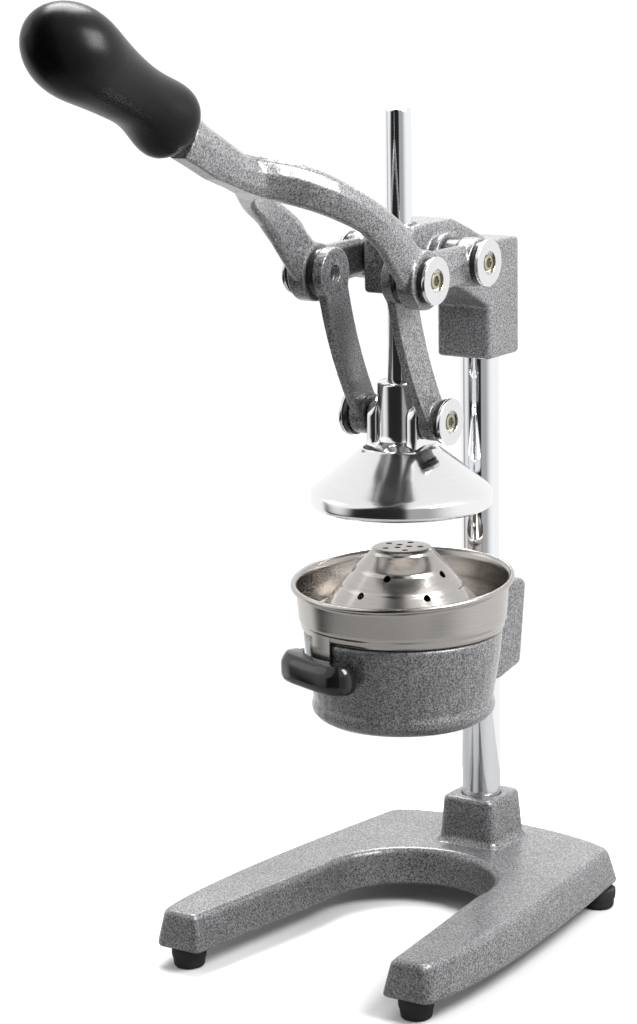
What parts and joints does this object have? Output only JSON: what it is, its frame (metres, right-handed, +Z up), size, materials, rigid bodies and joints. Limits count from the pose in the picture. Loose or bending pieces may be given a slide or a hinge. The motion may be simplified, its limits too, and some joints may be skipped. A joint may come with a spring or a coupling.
{
  "type": "hand citrus press",
  "caption": "Hand-lever citrus press: a forked lever and curved links push a cone down a guide onto a sieve in a round pan, over a cast U-shaped stand.",
  "frame": {"origin": "middle of the object's bounding box seen from above, on the table plane under the rubber feet", "axes": "+X to the right of someone facing the press, -Y the front, where the lever points, +Z up along the press rod"},
  "size_m": [0.2124, 0.4894, 0.6065],
  "materials": {
    "hammered_grey_paint": "hammered, glossy",
    "chrome": "mirror",
    "polished_aluminium": "polished, turned",
    "brushed_stainless": "brushed",
    "black_rubber": "matt",
    "satin_black_grip": "satin",
    "gloss_black_tab": "gloss",
    "black_nylon": "satin",
    "brass": "dull",
    "steel": "plain"
  },
  "bodies": {
    "stand": {"base_casting": "hammered_grey_paint", "column": "chrome", "column_bolt": "steel", "base_set_screw": "steel", "ring_set_screw": "steel", "head_set_screw": "steel", "bowl_ring": "hammered_grey_paint", "head_casting": "hammered_grey_paint", "guide_bush": "black_nylon", "foot_front_right": "black_rubber", "foot_front_left": "black_rubber", "foot_rear_right": "black_rubber", "foot_rear_left": "black_rubber", "foot_screw_front_right": "steel", "foot_screw_front_left": "steel", "foot_screw_rear_right": "steel", "foot_screw_rear_left": "steel", "stud_b_left": "chrome", "stud_b_right": "chrome", "stud_screw_b_left": "brass", "stud_screw_b_right": "brass", "washer_b_left": "black_nylon", "washer_b_right": "black_nylon", "spacer_b_left": "black_nylon", "spacer_b_right": "black_nylon"},
    "pan": {"pan": "brushed_stainless", "juice_funnel": "brushed_stainless", "sieve_cone": "brushed_stainless", "pan_tab": "gloss_black_tab"},
    "press": {"press_rod": "chrome", "press_cone": "polished_aluminium", "rod_screw": "steel", "stud_c_left": "chrome", "stud_c_right": "chrome", "stud_screw_c_left": "brass", "stud_screw_c_right": "brass", "washer_c_left": "black_nylon", "washer_c_right": "black_nylon"},
    "lever": {"lever_fork": "hammered_grey_paint", "grip": "satin_black_grip"},
    "links": {"link_left": "hammered_grey_paint", "link_right": "hammered_grey_paint", "stud_a_left": "chrome", "stud_a_right": "chrome", "stud_screw_a_left": "brass", "stud_screw_a_right": "brass", "washer_a_left": "black_nylon", "washer_a_right": "black_nylon", "spacer_a_left": "black_nylon", "spacer_a_right": "black_nylon"}
  },
  "joints": [
    {"name": "lever_turn", "type": "hinge", "parent": "stand", "child": "lever", "pos_m": [0, 0.12668, 0.432], "axis": [1, 0, 0], "range_deg": [0, 50]},
    {"name": "link_turn", "type": "hinge", "parent": "lever", "child": "links", "pos_m": [0, 0.06568, 0.4285], "axis": [1, 0, 0], "range_deg": [-63, 0]},
    {"name": "press_slide", "type": "slide", "parent": "stand", "child": "press", "axis": [0, 0, -1], "range_m": [0, 0.0545]},
    {"name": "pan_turn", "type": "hinge", "parent": "stand", "child": "pan", "pos_m": [0, 0.10468, 0.2015], "axis": [0, 0, 1], "range_deg": [-105, 150]}
  ],
  "couplings": [
    {"joint": "link_turn", "follows": "lever_turn", "ratio": -1.25},
    {"joint": "press_slide", "follows": "lever_turn", "m_per_rad": 0.0617}
  ]
}
